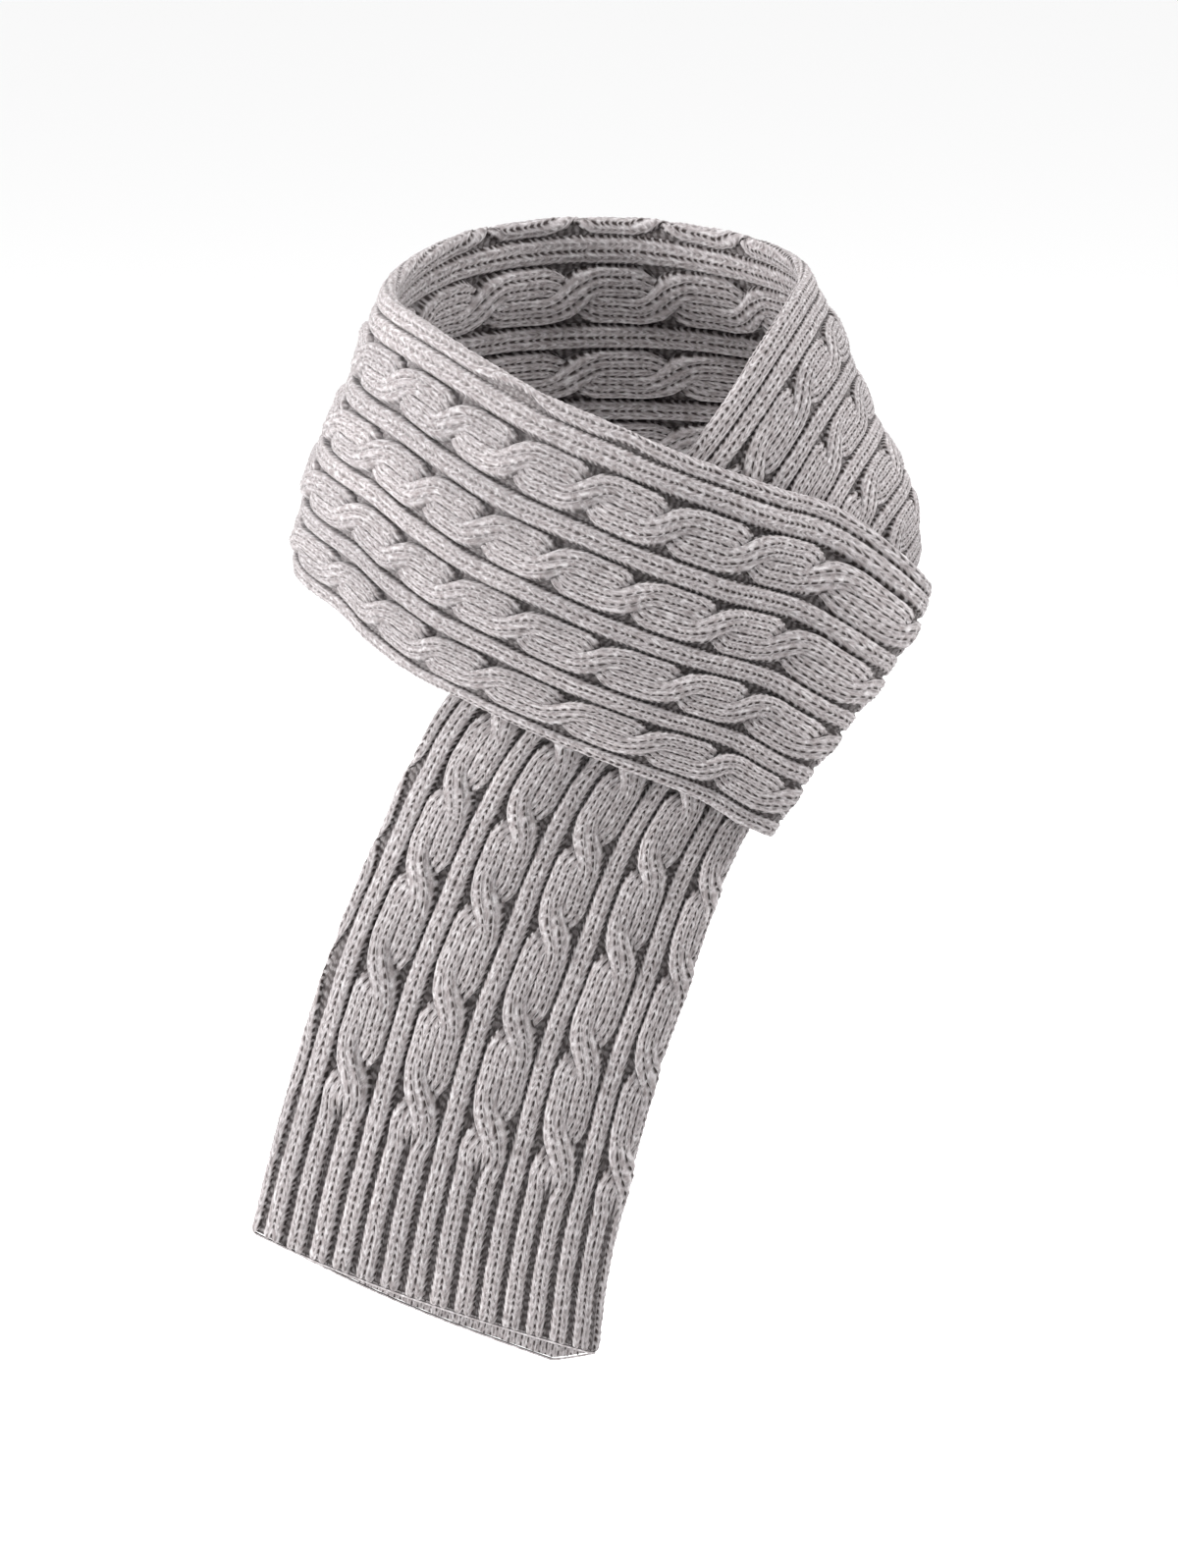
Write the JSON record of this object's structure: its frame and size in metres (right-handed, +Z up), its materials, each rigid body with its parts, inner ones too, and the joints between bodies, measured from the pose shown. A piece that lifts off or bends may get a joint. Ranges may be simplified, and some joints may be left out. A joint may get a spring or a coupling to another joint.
{
  "type": "cable knit scarf, worn",
  "caption": "Flat-tube cable knit scarf looped round an open neck, crossed at the front, with one ribbed tail hanging.",
  "frame": {"origin": "middle of the neck opening, level with the rim at its sides, where the wearer's neck holds the scarf", "axes": "+Z up, the front of the scarf faces -Y, and +X is to the right of someone who looks at the front"},
  "size_m": [0.3199, 0.24, 0.5186],
  "materials": {
    "yarn": "heathered light warm grey knit yarn, matte with a faint sheen and short fuzz"
  },
  "bodies": {
    "root": {"tail": "yarn", "under_stretch": "yarn", "right_fall": "yarn", "back_of_neck": "yarn", "front_band": "yarn", "turned_end": "yarn"}
  },
  "joints": []
}
